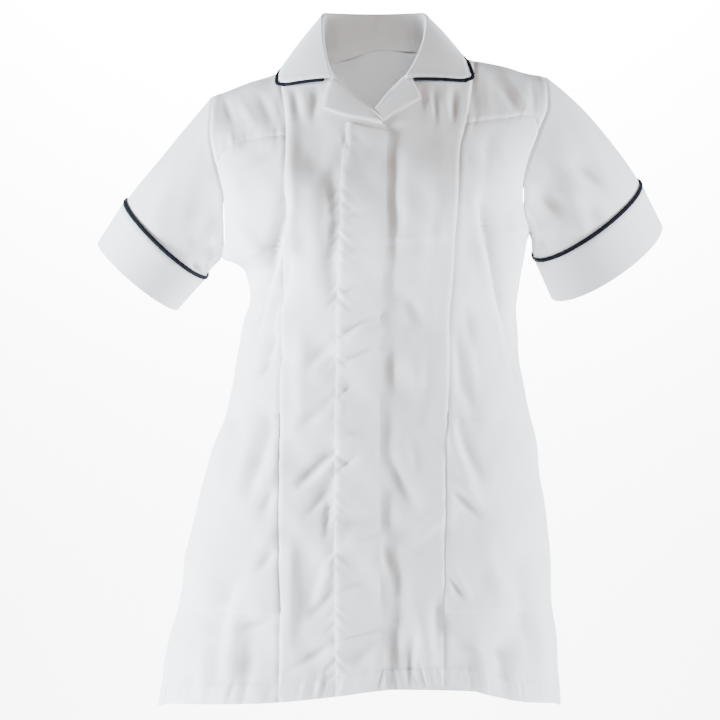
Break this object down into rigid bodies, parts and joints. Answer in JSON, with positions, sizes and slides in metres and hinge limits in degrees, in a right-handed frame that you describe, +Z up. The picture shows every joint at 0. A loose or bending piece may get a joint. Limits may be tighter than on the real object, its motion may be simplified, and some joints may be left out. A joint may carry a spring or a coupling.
{
  "type": "short-sleeved medical blouse",
  "caption": "White short-sleeved medical blouse with notched collar, yokes, pockets, concealed front opening and navy piping, keeping its worn form.",
  "frame": {"origin": "midway between the two neck points on the shoulder line, where the shoulders carry the garment", "axes": "+Z up, -Y is the front, +X is the wearer's left"},
  "size_m": [0.6353, 0.2804, 0.7791],
  "materials": {
    "white cloth": "matt, plain woven polyester and cotton",
    "navy piping": "matt, folded over a cord"
  },
  "bodies": {
    "root": {"front_right": "white cloth", "front_left": "white cloth", "placket": "white cloth", "side_front_right": "white cloth", "side_front_left": "white cloth", "yoke_right": "white cloth", "yoke_left": "white cloth", "back": "white cloth", "sleeve_right": "white cloth", "sleeve_left": "white cloth", "cuff_right": "white cloth", "cuff_left": "white cloth", "cuff_piping_right": "navy piping", "cuff_piping_left": "navy piping", "collar": "white cloth", "collar_piping": "navy piping", "lapel_right": "white cloth", "lapel_left": "white cloth", "pocket_right": "white cloth", "pocket_left": "white cloth"}
  },
  "joints": []
}
